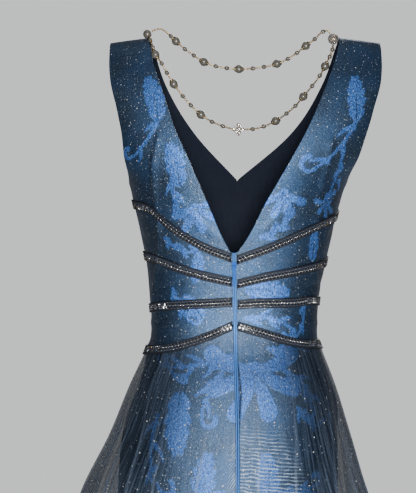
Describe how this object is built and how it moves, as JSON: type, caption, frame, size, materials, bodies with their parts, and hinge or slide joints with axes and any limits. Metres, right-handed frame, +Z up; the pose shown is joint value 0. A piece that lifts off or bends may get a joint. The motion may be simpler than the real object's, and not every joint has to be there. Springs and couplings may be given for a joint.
{
  "type": "prom dress",
  "caption": "Full-length fitted prom dress with a deep V back, wide straps, stone trim bands, a centre-back zip, a flared sheer overlay and pearl strands across the back.",
  "frame": {"origin": "midway between the tops of the two straps, where the gown rests on the shoulders", "axes": "+Z up, +Y out of the gown's front, +X towards the gown's right side as seen from behind"},
  "size_m": [0.8687, 0.791, 1.462],
  "materials": {
    "blue_damask": "woven damask, steel-blue ground with brighter blue leaves, soft sheen",
    "glitter_tulle": "sheer net with scattered glitter",
    "zip_tape": "narrow woven tape",
    "zip_enamel": "blue enamel",
    "stone_trim": "black and silver faceted stones on a narrow strip",
    "pearl": "cream imitation pearl on fine gold wire",
    "jewel_metal": "gold-plated setting with clear stones"
  },
  "bodies": {
    "gown": {"band_1_back_left": "stone_trim", "band_1_back_right": "stone_trim", "band_1_front": "stone_trim", "band_2_back_left": "stone_trim", "band_2_back_right": "stone_trim", "band_2_front": "stone_trim", "band_3_back_left": "stone_trim", "band_3_back_right": "stone_trim", "band_3_front": "stone_trim", "band_4_back_left": "stone_trim", "band_4_back_right": "stone_trim", "band_4_front": "stone_trim", "bodice_back_left": "blue_damask", "bodice_back_right": "blue_damask", "bodice_front": "blue_damask", "corner_pearl": "pearl", "flower_charm": "jewel_metal", "jewel_ball": "jewel_metal", "overlay_back_left": "glitter_tulle", "overlay_back_right": "glitter_tulle", "overlay_front": "glitter_tulle", "pearl_strand_lower": "pearl", "pearl_strand_upper": "pearl", "skirt_back_left": "blue_damask", "skirt_back_right": "blue_damask", "skirt_front": "blue_damask", "zip_slider": "zip_enamel", "zip_tape": "zip_tape"},
    "pull": {"zip_pull": "zip_enamel"}
  },
  "joints": [
    {"name": "pull_hinge", "type": "hinge", "parent": "gown", "child": "pull", "pos_m": [-0.0164, -0.08885, -0.3185], "axis": [-1, 0, 0], "range_deg": [0, 150]}
  ]
}
